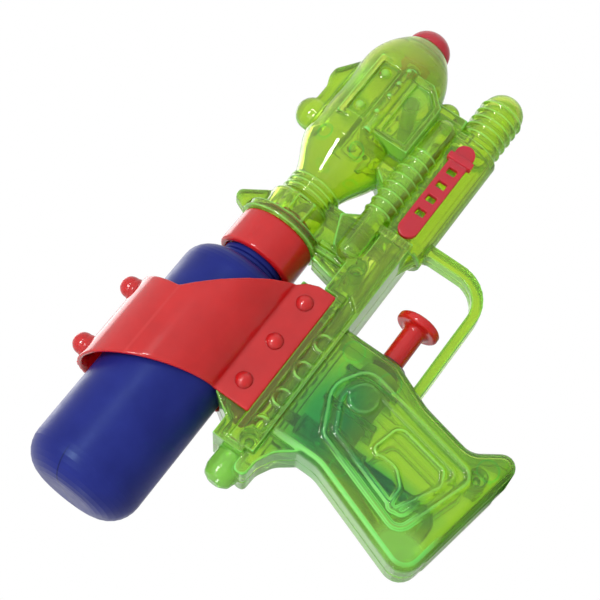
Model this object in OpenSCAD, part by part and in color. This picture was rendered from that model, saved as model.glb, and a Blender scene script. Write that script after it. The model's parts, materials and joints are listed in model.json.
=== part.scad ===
// Toy water squirter: a screw-on bottle lies over a hollow body of two moulded halves, and a plunger
// trigger works a small piston pump in the grip. X points to the muzzle, Y to the left side and Z up.
// The origin lies under the middle of the length, level with the lowest point of the butt.

/* [Layout] */
// Height of the bottle and barrel axis
axis_z = 115; // [114.5:0.1:116]
// Height of the trigger and pump axis
trigger_z = 55.5; // [55:0.1:56]
// Wall of the two body halves
wall = 2; // [1.6:0.1:2.2]
// Gap between pieces that fit into each other
fit_gap = 0.12; // [0.08:0.02:0.2]

/* [Bottle] */
// Radius of the bottle
tank_r = 21; // [20:0.25:21.5]
// Length of the bottle from its rear to the face of its shoulder
tank_len = 98.5; // [90:0.5:105]
// Rounding of the bottle's rear edge
tank_rear_round = 11; // [8:0.5:12]
// Rounding of the bottle's shoulder
tank_shoulder_round = 8.5; // [7:0.5:9]
// Wall of the bottle
tank_wall = 1.6; // [1.2:0.1:2]
// Outer radius of the bottle's neck under its thread
neck_r = 10.9; // [10.7:0.1:11.1]
// Length of the bottle's neck in front of the shoulder
neck_len = 14.3; // [13.8:0.1:14.4]
// Wall of the bottle's neck
neck_wall = 1.9; // [1.5:0.1:2.2]

/* [Collar and thread] */
// Position of the collar's rear rim
collar_x = -7.5; // [-8:0.1:-7]
// Length of the collar
collar_len = 15; // [14.8:0.1:15.4]
// Wall of the collar round its thread
collar_wall = 2.2; // [1.9:0.1:2.4]
// Space between the tip of the bottle's thread and the collar's bore
thread_gap = 0.4; // [0.3:0.05:0.6]
// Thickness of the collar's front wall
collar_front = 3; // [2.6:0.1:3.4]
// Rise of the bottle's thread in one turn
thread_pitch = 3; // [3:0.1:3.4]
// Height of the thread's ridge
thread_h = 1.2; // [1:0.1:1.2]
// Thickness of the neck gasket
gasket_t = 1.4; // [1.2:0.1:1.5]

/* [Strap] */
// Space between the bottle and the crown of the strap's arch
strap_rise = 4; // [3.6:0.1:5]
// Thickness of the strap
strap_t = 1.5; // [1.2:0.1:1.8]
// Radius of the strap's ball knobs
knob_r = 4; // [3.5:0.1:4.5]
// Radius of a rivet's dome
rivet_head_r = 3.2; // [2.8:0.1:3.6]
// Radius of a rivet's shank
rivet_r = 1.6; // [1.3:0.1:1.8]
// Distance from rivet to rivet
rivet_pitch = 17.2; // [16:0.1:18]

/* [Body] */
// Half of the receiver's width below the strap's ledge
receiver_w = 12; // [11.8:0.1:12.6]
// Half of the width of the upper block between the strap's flanges
block_w = 11.2; // [11.2:0.1:11.6]
// Height of the ledge that the strap stands on
ledge_z = 82.4; // [82:0.1:83]
// Height of the receiver's underside
receiver_z = 72.8; // [72.4:0.1:73]
// Half of the grip's width
grip_w = 11; // [10.5:0.1:11.4]
// Rounding of the grip's long edges
grip_edge = 3.5; // [2.5:0.1:4]
// Half of the trigger guard's width
guard_w = 4; // [3.5:0.1:5]
// Radius of the fore-end's round underside
fore_r = 10; // [9.6:0.1:10.4]
// Height of the fore-end's axis
fore_z = 78; // [77.5:0.1:78.5]
// Radius of the side rails
rail_r = 4.9; // [4.6:0.1:5.1]
// Radius of the dummy barrel under the nose
barrel_r = 8.1; // [7.8:0.1:8.4]
// Radius of the engine
engine_r = 17; // [16.5:0.1:17.4]
// Half of the width across the engine's side panels
panel_w = 16.8; // [16.4:0.1:17.2]
// Height of raised lines on the body
line_h = 0.8; // [0.5:0.1:1]

/* [Pump] */
// Bore of the pump cylinder
pump_bore_r = 5.5; // [5.3:0.1:5.7]
// Wall of the pump cylinder
pump_wall = 1.5; // [1.2:0.1:1.6]
// Length of the pump cylinder
pump_len = 25.7; // [25.4:0.1:26]
// Radius of the trigger's rod
rod_r = 4.1; // [3.9:0.1:4.2]
// Radius of the trigger's button
button_r = 8.2; // [7.5:0.1:9]
// Thickness of the trigger's button at its rim
button_t = 3.4; // [3:0.1:4]
// Travel of the trigger
trigger_travel = 10; // [8:0.5:10]
// Radius of the valve balls
ball_r = 2; // [1.9:0.05:2.1]
// Lift of the valve balls
ball_lift = 1; // [0.8:0.1:1.2]
// Radius of the hoses
hose_r = 2.2; // [2.1:0.05:2.3]
// Bore of the hoses
hose_bore_r = 1.45; // [1.45:0.05:1.55]
// Radius of the barbs that hold the hoses
barb_r = 1.3; // [1.2:0.05:1.3]
// Water channel of the barbs
channel_r = 0.7; // [0.6:0.05:0.8]

/* [Hidden] */
$fn = 64;
lime = [0.55, 0.85, 0.15, 0.6];
red = [0.85, 0.15, 0.17];
blue = [0.13, 0.16, 0.5];
white = [0.93, 0.93, 0.9];
black = [0.08, 0.08, 0.08];
clear = [0.85, 0.9, 0.9, 0.5];
steel = [0.7, 0.72, 0.74];
far = 200;

// Points and outlines in the side view, as [x, z]
function unit(v) = v / norm(v);
function cross2(a, b) = a[0] * b[1] - a[1] * b[0];
function left_of(d) = [-d[1], d[0]];
function pick(list, i) = list[(i + len(list)) % len(list)];

// Outline moved inwards by d. The points run anticlockwise.
function inset(pts, d) = [
    for (i = [0 : len(pts) - 1])
        let (n1 = left_of(unit(pts[i] - pick(pts, i - 1))), n2 = left_of(unit(pick(pts, i + 1) - pts[i])))
        pts[i] + d * (n1 + n2) / (1 + n1 * n2)
];

// Corner radii of an outline that is moved inwards by d: outer corners tighten and inner corners widen.
function inset_radii(pts, radii, d) = [
    for (i = [0 : len(pts) - 1])
        let (turn = cross2(pts[i] - pick(pts, i - 1), pick(pts, i + 1) - pts[i]))
        turn > 0 ? max(radii[i] - d, 0.4) : radii[i] + d
];

// Outline with each corner turned into an arc of n steps
function rounded(pts, radii, n = 6) = [
    for (i = [0 : len(pts) - 1])
        let (
            v = pts[i],
            u = unit(pick(pts, i - 1) - v),
            w = unit(pick(pts, i + 1) - v),
            half = acos(u * w) / 2,
            c = v + unit(u + w) * radii[i] / sin(half),
            a = v + u * radii[i] / tan(half) - c,
            b = v + w * radii[i] / tan(half) - c,
            sweep = 180 - 2 * half
        )
        for (k = [0 : n])
            c + (sin(sweep * (n - k) / n) * a + sin(sweep * k / n) * b) / sin(sweep)
];

function soft_outline(pts, radii, d = 0) = rounded(inset(pts, d), inset_radii(pts, radii, d));

// Triangles that join rings of n points
function side_faces(rings, n) = [
    for (i = [0 : rings - 2]) for (j = [0 : n - 1]) let (k = (j + 1) % n)
        each [[i * n + j, (i + 1) * n + j, i * n + k], [(i + 1) * n + j, (i + 1) * n + k, i * n + k]]
];

// The same with both ends closed
function ring_faces(rings, n) = concat(
    side_faces(rings, n), [[for (j = [0 : n - 1]) j]], [[for (j = [0 : n - 1]) rings * n - 1 - j]]
);

// Slab with a soft outline and rounded long edges, even about the middle plane. All of its outline can be
// seen from the point named middle.
module slab(pts, radii, half_w, edge, middle) {
    steps = 4;
    angles = [for (k = [0 : steps]) 90 * k / steps];
    levels = concat(
        [for (k = [steps : -1 : 0]) [half_w - edge * (1 - sin(angles[k])), edge * (1 - cos(angles[k]))]],
        [for (k = [0 : steps]) [edge * (1 - sin(angles[k])) - half_w, edge * (1 - cos(angles[k]))]]
    );
    outlines = [for (level = levels) soft_outline(pts, radii, level[1])];
    n = len(outlines[0]);
    last = (len(levels) - 1) * n;
    centre = last + n;
    polyhedron(
        concat(
            [for (i = [0 : len(levels) - 1]) for (p = outlines[i]) [p[0], levels[i][0], p[1]]],
            [[middle[0], half_w, middle[1]], [middle[0], -half_w, middle[1]]]
        ),
        concat(
            side_faces(len(levels), n),
            [for (j = [0 : n - 1]) [centre, j, (j + 1) % n]],
            [for (j = [0 : n - 1]) [centre + 1, last + (j + 1) % n, last + j]]
        )
    );
}

// Flat-sided prism of a side outline, even about the middle plane
module prism(pts, half_w) {
    rotate([90, 0, 0]) linear_extrude(2 * half_w, center = true) polygon(pts);
}

// Plate of a side outline between two distances from the middle plane, on one side
module plate(pts, y0, y1) {
    translate([0, y1, 0]) rotate([90, 0, 0]) linear_extrude(y1 - y0) polygon(pts);
}

module box(x0, x1, y0, y1, z0, z1) {
    translate([x0, y0, z0]) cube([x1 - x0, y1 - y0, z1 - z0]);
}

module rod_x(x0, x1, r, z, y = 0) {
    translate([x0, y, z]) rotate([0, 90, 0]) cylinder(h = x1 - x0, r = r);
}

module rod_y(y0, y1, r, x, z) {
    translate([x, y0, z]) rotate([-90, 0, 0]) cylinder(h = y1 - y0, r = r);
}

module rod_z(z0, z1, r, x) {
    translate([x, 0, z0]) cylinder(h = z1 - z0, r = r);
}

module ball(x, z, r, y = 0) {
    translate([x, y, z]) sphere(r = r);
}

// Solid turned about a line along X at height z. The outline is given as [radius, x].
module turned(outline, z) {
    translate([0, 0, z]) rotate([0, 90, 0]) rotate_extrude() polygon(outline);
}

// The same shape on both sides of the middle plane
module both_sides() {
    children();
    mirror([0, 1, 0]) children();
}

// Arc of a profile, as [radius, x], from angle a0 to a1
function arc(r, x, size, a0, a1, n = 8) = [
    for (k = [0 : n]) let (a = a0 + (a1 - a0) * k / n) [r + size * sin(a), x + size * cos(a)]
];

// Bottle, collar and thread
shoulder_x = collar_x - 4;
tank_rear = shoulder_x - tank_len;
lip_x = shoulder_x + neck_len;
collar_front_x = collar_x + collar_len;
seat_x = collar_front_x - collar_front;
neck_bore_r = neck_r - neck_wall;
collar_bore_r = neck_r + thread_h + thread_gap;
collar_r = collar_bore_r + collar_wall;
thread_turns = 1.6;
thread_root = 1.5;
thread_crest = 0.7;
thread_sink = 0.3;
thread_x = collar_x + 4;
boss_r = 8;
boss_flange_r = 9.6;
boss_flange_t = 1.6;

// Strap
strap_r = tank_r + strap_rise / 2;
strap_z = axis_z + strap_rise / 2;
flange_top = strap_z - sqrt(strap_r * strap_r - block_w * block_w);
strap_rear = -55;
strap_front = -4.4;
strap_crown_rear = -73;
strap_crown_front = -36;
strap_top = strap_z + strap_r + strap_t;
rivet_z = ledge_z + 7.4;
rivet_x = strap_rear + 8;
rivet_len = 6;

// Body
ring_x = collar_front_x;
ring_t = 3.4;
ring_r = 16;
tube_r = 12;
throat_r = 9.8;
throat_x = 22.5;
throat_rib = 1.9;
throat_rib_pitch = 2.5;
flare_x = 30.5;
engine_x = 47;
nose_x = 84;
nose_end = 102;
nose_end_r = 8.7;
tip_x = 110;
upper_z = 87.9;
block_z = axis_z - 19.5;
tank_room = 1;
rail_y = 9.5;
rail_z = 89.5;
rail_rear = 9;
rail_front = 77;
fore_rear = 20;
fore_cone = 31;
fore_cone_r = 5.2;
fore_front = 76.5;
barrel_rear = fore_front - 12;
barrel_front = 104.2;
knob_z = 78.9;
knob_rear = -78.4;
knob_front = -62;
knob_end_r = 2.4;
knob_body_r = 6;

// Pump, valve and hoses
grip_front = -10;
pump_front = grip_front - 4.3;
pump_rear = pump_front - pump_len;
pump_r = pump_bore_r + pump_wall;
pump_end = 1.5;
stub_r = 2.3;
stub_len = 1.6;
gland_r = 5.2;
gland_head_r = 6.5;
gland_rear = pump_front - 2.5;
gland_front = grip_front + 1.2;
run_gap = 0.05;
piston_front = gland_rear - 1.8;
piston_len = 4;
button_stop = 5.3;
button_x = gland_front + trigger_travel + button_stop;
valve_x = pump_rear - 4.6;
valve_r = 3.8;
chamber_r = ball_r + 0.6;
seat_r = 1.2;
seat_t = 2;
seat_gap = 0.1;
inlet_seat = trigger_z - 8.5;
outlet_seat = trigger_z + 4.5;
seat_rise = sqrt(ball_r * ball_r - seat_r * seat_r) + seat_gap;
stop_r = 0.6;
valve_bottom = inlet_seat - 3;
stop_gap = 0.3;
inlet_stop = inlet_seat + seat_rise + ball_r + ball_lift + stop_gap + stop_r;
outlet_stop = outlet_seat + seat_rise + ball_r + ball_lift + stop_gap + stop_r;
valve_top = outlet_stop + stop_r + 1.2;
fitting_t = 1;
barb_len = 5;
short_barb = 2.2;
outlet_barb = 3.8;
hose_end_gap = 0.2;
hose_y = 5;
hose_z = 77.8;
hose_room = 0.5;
hose_bend = 5;
dip_bend = 20;

// Outlines of the body in the side view
grip_pts = [
    [grip_front, 80], [-55.6, 80], [-55.6, 54], [-70.6, 9.4], [-8.8, -2.0755], [-21.3, 15.5], [-16.9, 36],
    [grip_front, 52]
];
grip_radii = [1, 1, 14, 7, 4.6, 7, 25, 5];
butt_slope = (grip_pts[4][1] - grip_pts[3][1]) / (grip_pts[4][0] - grip_pts[3][0]);
function butt_z(x) = grip_pts[3][1] + butt_slope * (x - grip_pts[3][0]);
tang_pts = [[-45, 78], [-72.8, 75.5], [-72.8, 70.8], [-66, 70.4], [-60, 67.3], [-53.6, 59], [-45, 56]];
tang_radii = [1, 1.8, 1.8, 5, 8, 1, 1];
receiver_front = 28;
receiver_pts = [
    [receiver_front, upper_z], [strap_front + 0.6, upper_z], [strap_front + 0.6, ledge_z], [-65, ledge_z],
    [-65, receiver_z], [receiver_front, receiver_z]
];
block_pts = [
    [strap_front - 1, block_z], [strap_rear, block_z], [strap_rear - 5, 87.6], [-67.2, 87.6], [-67.2, 76],
    [strap_front - 1, 76]
];
pylon_top = axis_z - 15;
pylon_pts = [[82, pylon_top], [46, pylon_top], [38.5, 90], [38.5, 85], [82, 85]];
pylon_inside = [[80, pylon_top + 4], [50, pylon_top + 4], [40.5, 91], [40.5, 80], [80, 80]];
pylon_w = 9;
web_top = axis_z - 8;
web_pts = [[27, web_top], [8.3, web_top], [8.3, 99.3], [5.5, 99.3], [3.6, 91], [3.6, 84], [27, 84]];
web_inside = [
    [25, web_top + 2], [11.6, web_top + 2], [11.6, 97], [7.6, 97], [5.8, 90.4], [5.8, 82], [25, 82]
];
web_w = 5;
panel_top = axis_z + 8.8;
panel_under = axis_z - 21.1;
panel_pts = [
    [82.5, panel_top], [53.6, panel_top], [53.6, panel_under], [76, panel_under], [82.5, panel_under + 7.1]
];
guard_front = 35.8;
guard_bottom = 40.1;
guard_t = 3.9;
guard_front_t = 4.6;
guard_corner = 15;
guard_out = [[guard_front, 75], [-20, 75], [-20, guard_bottom], [guard_front, guard_bottom]];
guard_out_radii = [1, 1, 1, guard_corner];
guard_in = [
    [guard_front - guard_front_t, receiver_z + 0.3], [-30, receiver_z + 0.3], [-30, guard_bottom + guard_t],
    [guard_front - guard_front_t, guard_bottom + guard_t]
];
guard_in_radii = [8, 1, 1, guard_corner - guard_t];
guard_steps = 8;

// Turned skin of the upper barrel, as [radius, x]: tube, throat, flare, engine and nose
function smooth(k) = k * k * (3 - 2 * k);
nose_curve = 1.9;
tube_skin = [[tube_r, ring_x + ring_t], [tube_r, throat_x - 2], [throat_r, throat_x + 0.5]];
nose_skin = concat(
    [for (k = [0 : 0.125 : 1])
        [throat_r + (engine_r - throat_r) * (k + smooth(k)) / 2, flare_x + (engine_x - flare_x) * k]],
    [for (k = [0 : 0.125 : 1])
        [engine_r - (engine_r - nose_end_r) * pow(k, nose_curve), nose_x + (nose_end - nose_x) * k]]
);

// Round ribs along a turned profile, as [radius, x]
rib_h = 0.8;
rib_w = 1.8;
function ribs(r, x0, pitch, count) = [
    for (i = [0 : count - 1]) for (k = [-1 : 0.5 : 1])
        [r + rib_h * (1 - k * k), x0 + i * pitch + k * rib_w / 2]
];
rail_ribs = ribs(rail_r, 31, 4, 8);
barrel_ribs = ribs(barrel_r, 81, 3.6, 5);

// Rod along X with round ends, as one turned profile. The ribs lie between its ends.
function capsule(x0, x1, r, rings) = concat(
    [[0, x0]], arc(0, x0 + r, r, 165, 90, 5), rings, arc(0, x1 - r, r, 90, 15, 5), [[0, x1]]
);

module upper_barrel() {
    turned(concat(
        [[0, ring_x], [ring_r, ring_x], [ring_r, ring_x + ring_t]],
        tube_skin, ribs(throat_r, throat_x + throat_rib, throat_rib_pitch, 3), nose_skin, [[0, nose_end]]
    ), axis_z);
}

// Section of the fore-end across X, as [y, z]: a round underside and straight sides
function round_under(r, top) = concat(
    [for (k = [0 : 12]) [-r * cos(15 * k), fore_z - r * sin(15 * k)]], [[r, top], [-r, top]]
);

module along_x(x0, x1, section) {
    translate([x0, 0, 0]) rotate([90, 0, 90]) linear_extrude(x1 - x0) polygon(section);
}

module fore_end() {
    along_x(receiver_front - 1, fore_front, round_under(fore_r, upper_z + 0.3));
    turned([[0, fore_rear], [fore_cone_r, fore_rear], [fore_r - 0.3, fore_cone], [0, fore_cone]], fore_z);
    turned(capsule(barrel_rear, barrel_front, barrel_r, barrel_ribs), fore_z);
    both_sides() translate([0, rail_y, 0]) turned(capsule(rail_rear, rail_front, rail_r, rail_ribs), rail_z);
}

module rear_knob(d) {
    r = knob_body_r - d;
    turned([
        [0, knob_rear + d], [knob_end_r, knob_rear + d], [knob_body_r - 1.1 - d / 2, knob_rear + 1.4 + d],
        [r, knob_rear + 4.5], [r, knob_front], [0, knob_front]
    ], knob_z);
}

module receiver(d) {
    prism(inset(receiver_pts, d), receiver_w - d);
    difference() {
        prism(inset(block_pts, d), block_w - d);
        rod_x(-80, 10, tank_r + tank_room + d, axis_z);
    }
    rear_knob(d);
}

// Outer form of the body
module skin() {
    slab(grip_pts, grip_radii, grip_w, grip_edge, [-40, 25]);
    receiver(0);
    fore_end();
    prism(pylon_pts, pylon_w);
    prism(web_pts, web_w);
    prism(panel_pts, panel_w);
    upper_barrel();
}

// Space inside the body. Each part of it opens into the next one, as in a moulded half.
fore_inside = [
    [8, 86.6], [11.6, 87.4], [12.4, 89.5], [11.6, 91.6], [9.5, 92.4], [7.4, 91.6], [6.8, 89.5], [6.6, 86.2]
];
module inside() {
    start = ring_x + ring_t;
    r = fore_r - wall;
    prism(soft_outline(grip_pts, grip_radii, wall), grip_w - wall);
    receiver(wall);
    along_x(fore_cone, fore_front - wall, concat(
        [for (k = [0 : 12]) [-r * cos(15 * k), fore_z - r * sin(15 * k)]],
        fore_inside,
        [for (i = [len(fore_inside) - 1 : -1 : 0]) [-fore_inside[i][0], fore_inside[i][1]]]
    ));
    turned([
        [0, fore_rear + wall], [3.6, fore_rear + wall], [fore_r - 2.3, fore_cone + 1], [0, fore_cone + 1]
    ], fore_z);
    rod_x(receiver_front - 2 * wall, fore_cone + 3, hose_r + hose_room, hose_z, -hose_y);
    turned(capsule(barrel_rear + wall, barrel_front - wall, barrel_r - wall, []), fore_z);
    both_sides() box(13, 31.5, 8.2, 12.2, 84, 91.4);
    prism(pylon_inside, pylon_w - wall);
    prism(web_inside, web_w - wall);
    prism(inset(panel_pts, wall), panel_w - wall);
    turned(concat(
        [[0, start]], [for (p = concat(tube_skin, nose_skin)) [p[0] - wall, p[1]]],
        [[nose_end_r - wall, nose_end + 1], [0, nose_end + 1]]
    ), axis_z);
}

module guard() {
    rotate([90, 0, 0]) linear_extrude(2 * guard_w, center = true) difference() {
        polygon(rounded(guard_out, guard_out_radii, guard_steps));
        polygon(rounded(guard_in, guard_in_radii, guard_steps));
    }
}

// Solid lumps of the body: the fin behind the throat, the bumps on the engine and the tang over the grip
fin_z = axis_z - 1;
fin_pts = [
    [19.4, fin_z], [19.4, fin_z + 13], [13, fin_z + 22.2], [10, fin_z + 22.2], [7.6, fin_z + 16.5],
    [7.6, fin_z]
];
fin_radii = [0.6, 4, 2.1, 2.1, 4, 0.6];
ridge_z = axis_z + 3;
ridge_pts = [
    [85, ridge_z], [85, ridge_z + 12], [74, ridge_z + 19.8], [70, ridge_z + 19.8], [66, ridge_z + 18.1],
    [54, ridge_z + 18.1], [54, ridge_z]
];
ridge_radii = [0.8, 4, 3, 3, 4, 0.8, 0.8];
tang_w = 9.5;
fin_w = 3.8;
fin_edge = 1.6;
ridge_w = 4.6;
ridge_edge = 2;
turret_x = 54.5;
turret_z = axis_z + 11;
turret_h = 8;
turret_r = 6.3;
pod_rear = 60;
pod_front = 88.6;
pod_r = 4.8;
pod_z = axis_z - 21;
pad_front = -27;
pad_rear = -60;
pad_w = 6.8;
pad_h = 0.4;

module lumps() {
    prism(rounded(tang_pts, tang_radii), tang_w);
    slab(fin_pts, fin_radii, fin_w, fin_edge, [13, fin_z + 8]);
    slab(ridge_pts, ridge_radii, ridge_w, ridge_edge, [70, ridge_z + 8]);
    translate([turret_x, 0, turret_z]) rotate_extrude() polygon(concat(
        [[0, 0], [turret_r, 0]],
        [for (a = [0 : 15 : 75]) turret_r * [cos(a), sin(a)] + [0, turret_h]],
        [[0, turret_h + turret_r]]
    ));
    turned(capsule(pod_rear, pod_front, pod_r, []), pod_z);
    prism([
        [pad_front, butt_z(pad_front) + 1], [pad_rear, butt_z(pad_rear) + 1],
        [pad_rear, butt_z(pad_rear) - pad_h], [pad_front, butt_z(pad_front) - pad_h]
    ], pad_w);
}

// Lines and studs raised on both outer sides
arch_r = 3.5;
arch_bore_r = 2.4;
arch_z = 76.4;
arch_leg = 2.8;
arch_x = -56;
arch_pitch = 11.9;
module arch(x) {
    rotate([90, 0, 0]) linear_extrude(1.4) difference() {
        union() {
            translate([x, arch_z]) circle(r = arch_r);
            translate([x - arch_r, arch_z - arch_leg]) square([2 * arch_r, arch_leg]);
        }
        translate([x, arch_z]) circle(r = arch_bore_r);
        translate([x - arch_bore_r, arch_z - arch_leg - 1]) square([2 * arch_bore_r, arch_leg + 1]);
    }
}

panel_line = [[-30, 66.5], [-46.5, 58.6], [-59.5, 19.6], [-28, 8.6], [-17.6, 58.6]];
panel_line_radii = [10, 5, 5, 5, 7];
inner_line = inset(panel_line, 4);
inner_line_radii = [7, 3, 3, 3, 4];
sub_line = [
    [-44, 43.6], [-41.2, 38.5], [-41.5, 32.5], [-46, 28], [-54, 27.5], [-54, 24.6], [-37.6, 16.4],
    [-32.2, 18.6], [-28, 39.6]
];
sub_line_radii = [2.5, 5, 5, 2.5, 1.4, 1.4, 3, 3, 4];

module line_ring(pts, radii, width, y) {
    translate([0, y, 0]) rotate([90, 0, 0]) linear_extrude(1.2) difference() {
        polygon(soft_outline(pts, radii));
        polygon(soft_outline(pts, radii, width));
    }
}

module raised_lines() {
    y = grip_w + line_h;
    line_ring(panel_line, panel_line_radii, 1.3, y);
    line_ring(inner_line, inner_line_radii, 1, y - 0.2);
    line_ring(sub_line, sub_line_radii, 1, y);
    rod_y(grip_w - 0.5, y, 5.2, -28, 54.4);
    translate([0, receiver_w - 0.1, 0]) for (i = [0 : 3]) arch(arch_x + arch_pitch * i);
    box(24.6, receiver_front - 0.4, receiver_w - 1, receiver_w + 0.6, receiver_z + 0.8, upper_z - 1.6);
    rod_x(52.6, 83, 1.8, axis_z - 4.6, panel_w - 0.6);
    for (x = [60.8, 68.6, 74.8, 81.2]) ball(x, axis_z - 3.6, 1.2, panel_w + 0.6);
    for (x = [60.3, 76.3]) ball(x, axis_z + 3.4, 2.6, panel_w - 2.2);
    plate([[13, 93], [29.4, 93], [24.5, 100.6], [22.5, 100], [13, 96]], 6, 8.6);
    rod_x(12, throat_x - 2, 2.2, axis_z + 3, tube_r - 2);
    rod_x(12, throat_x - 2, 0.9, axis_z - 5.6, tube_r - 1.6);
    box(8.4, 10.4, 3, 7, 89, 102);
    box(11.6, 13.2, 3, 6, 93, 100.5);
}

// Shallow hollows in both outer sides
lower_recess = [
    [79.6, axis_z - 8.6], [55.8, axis_z - 8.6], [55.8, axis_z - 19], [75.2, axis_z - 19],
    [79.6, axis_z - 14.4]
];
module recesses() {
    plate([[-58, 74.2], [-4.6, 74.2], [-0.2, 79.8], [-58, 79.8]], receiver_w - 0.9, receiver_w + 1);
    box(56, 80.4, panel_w - 1, panel_w + 2, axis_z - 1, axis_z + 6.4);
    plate(lower_recess, panel_w - 1, panel_w + 2);
    box(13, throat_x - 2.5, tube_r - 1.3, tube_r + 2, axis_z - 4.4, axis_z + 0.4);
}

// Ribs, pillars and passages inside the body
pegs = [[-61, 77], [10, 83.6], [-64, 13.5], [-27, 9], [68, 82], [72, axis_z - 11]];
pillar_r = 3;
peg_r = 1.4;
peg_len = 3;
rivet_boss = 1.4;
bulkhead_x = 95;
bulkhead_t = 2;
bulkhead_bore_r = 5;
suction_x = 22.2;
outlet_x = 56;
module supports() {
    for (p = pegs) rod_y(-far, far, pillar_r, p[0], p[1]);
    for (x = [pump_rear + 5, pump_rear + 18]) difference() {
        box(x, x + 1.8, -far, far, trigger_z - 10, trigger_z + 10);
        rod_x(x - 1, x + 3, pump_r + fit_gap, trigger_z);
    }
    difference() {
        rod_x(bulkhead_x, bulkhead_x + bulkhead_t, tube_r, axis_z);
        rod_x(bulkhead_x - 1, bulkhead_x + bulkhead_t + 1, bulkhead_bore_r, axis_z);
    }
    for (i = [0 : 2]) both_sides()
        rod_y(block_w - rivet_len, far, rivet_r + rivet_boss, rivet_x + rivet_pitch * i, rivet_z);
}

module openings() {
    rod_x(-20, 2, gland_r + fit_gap, trigger_z);
    rod_x(ring_x - 1, ring_x + ring_t + 1, boss_r + fit_gap, axis_z);
    for (i = [0 : 2]) rod_y(-far, far, rivet_r + fit_gap / 2, rivet_x + rivet_pitch * i, rivet_z);
}

module shell_half(side) {
    flip = [0, side > 0 ? 0 : 1, 0];
    intersection() {
        difference() {
            union() {
                difference() {
                    skin();
                    mirror(flip) recesses();
                }
                guard();
                lumps();
                mirror(flip) raised_lines();
            }
            difference() {
                inside();
                supports();
            }
            openings();
        }
        box(-far, far, side > 0 ? 0 : -far, side > 0 ? far : 0, -far, far);
    }
}

module right_shell() {
    color(lime) {
        difference() {
            shell_half(-1);
            for (x = clip_pegs) rod_y(-far, -5, clip_peg_r + fit_gap, x, clip_z);
        }
        for (p = pegs) rod_y(-1, peg_len, peg_r, p[0], p[1]);
    }
}

module left_shell() {
    color(lime) difference() {
        shell_half(1);
        for (p = pegs) rod_y(-1, peg_len + 0.5, peg_r + fit_gap, p[0], p[1]);
    }
}

// Ridge of a screw thread about the bottle's axis, from radius r0 to radius r1
module thread_ridge(x0, r0, r1) {
    steps = round(24 * thread_turns);
    root = thread_root / 2;
    crest = thread_crest / 2;
    section = [[-root, r0], [-crest, r1], [crest, r1], [root, r0]];
    points = [
        for (k = [0 : steps]) let (a = 360 * thread_turns * k / steps) for (p = section)
            [x0 + thread_pitch * a / 360 + p[0], p[1] * cos(a), axis_z + p[1] * sin(a)]
    ];
    faces = ring_faces(steps + 1, len(section));
    polyhedron(points, r1 < r0 ? faces : [for (f = faces) [for (i = [len(f) - 1 : -1 : 0]) f[i]]]);
}

module tank_bottle() {
    bead_r = neck_r + 1.2;
    groove_r = neck_r + 0.4;
    sr = tank_shoulder_round;
    rr = tank_rear_round;
    color(blue) {
        turned(concat(
            [[0, tank_rear]],
            arc(tank_r - rr, tank_rear + rr, rr, 180, 90),
            arc(tank_r - sr, shoulder_x - sr, sr, 90, 0),
            [[groove_r, shoulder_x + 0.3], [bead_r, shoulder_x + 0.9], [bead_r, shoulder_x + 1.9],
                [groove_r, shoulder_x + 2.3], [bead_r, shoulder_x + 2.7], [bead_r, shoulder_x + 4.2],
                [neck_r, shoulder_x + 4.6], [neck_r, lip_x], [neck_bore_r, lip_x],
                [neck_bore_r, shoulder_x - tank_wall]],
            arc(tank_r - sr, shoulder_x - sr, sr - tank_wall, 0, 90),
            arc(tank_r - rr, tank_rear + rr, rr - tank_wall, 90, 180),
            [[0, tank_rear + tank_wall]]
        ), axis_z);
        thread_ridge(thread_x, neck_r - thread_sink, neck_r + thread_h);
    }
}

boss_end = ring_x + ring_t + 4;
spigot_r = 3;
spigot_flange_r = 6;
spigot_flange_t = 1.4;
module tank_collar() {
    inner = spigot_r + fit_gap;
    hold_x = ring_x + ring_t + fit_gap;
    color(red) {
        turned([
            [inner, seat_x], [collar_bore_r, seat_x], [collar_bore_r, collar_x + 0.5],
            [collar_bore_r + 0.4, collar_x], [collar_r - 0.8, collar_x], [collar_r + 0.2, collar_x + 0.8],
            [collar_r, collar_front_x - 0.8], [collar_r - 0.8, collar_front_x], [boss_r, collar_front_x],
            [boss_r, hold_x], [boss_flange_r, hold_x], [boss_flange_r, hold_x + boss_flange_t],
            [boss_r, hold_x + boss_flange_t], [boss_r, boss_end], [inner, boss_end]
        ], axis_z);
        thread_ridge(thread_x - thread_pitch / 2, collar_bore_r + thread_sink, collar_bore_r - thread_h);
    }
}

module neck_gasket() {
    x = lip_x + run_gap;
    color(black) turned([
        [neck_bore_r, x], [neck_r - 0.1, x], [neck_r - 0.1, x + gasket_t], [neck_bore_r, x + gasket_t]
    ], axis_z);
}

module tank_spigot() {
    flange_x = seat_x - spigot_flange_t;
    color(white) turned([
        [channel_r, flange_x - barb_len], [barb_r, flange_x - barb_len], [barb_r, flange_x],
        [spigot_flange_r, flange_x], [spigot_flange_r, seat_x], [spigot_r, seat_x], [spigot_r, boss_end],
        [barb_r, boss_end], [barb_r, boss_end + short_barb], [channel_r, boss_end + short_barb]
    ], axis_z);
}

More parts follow.
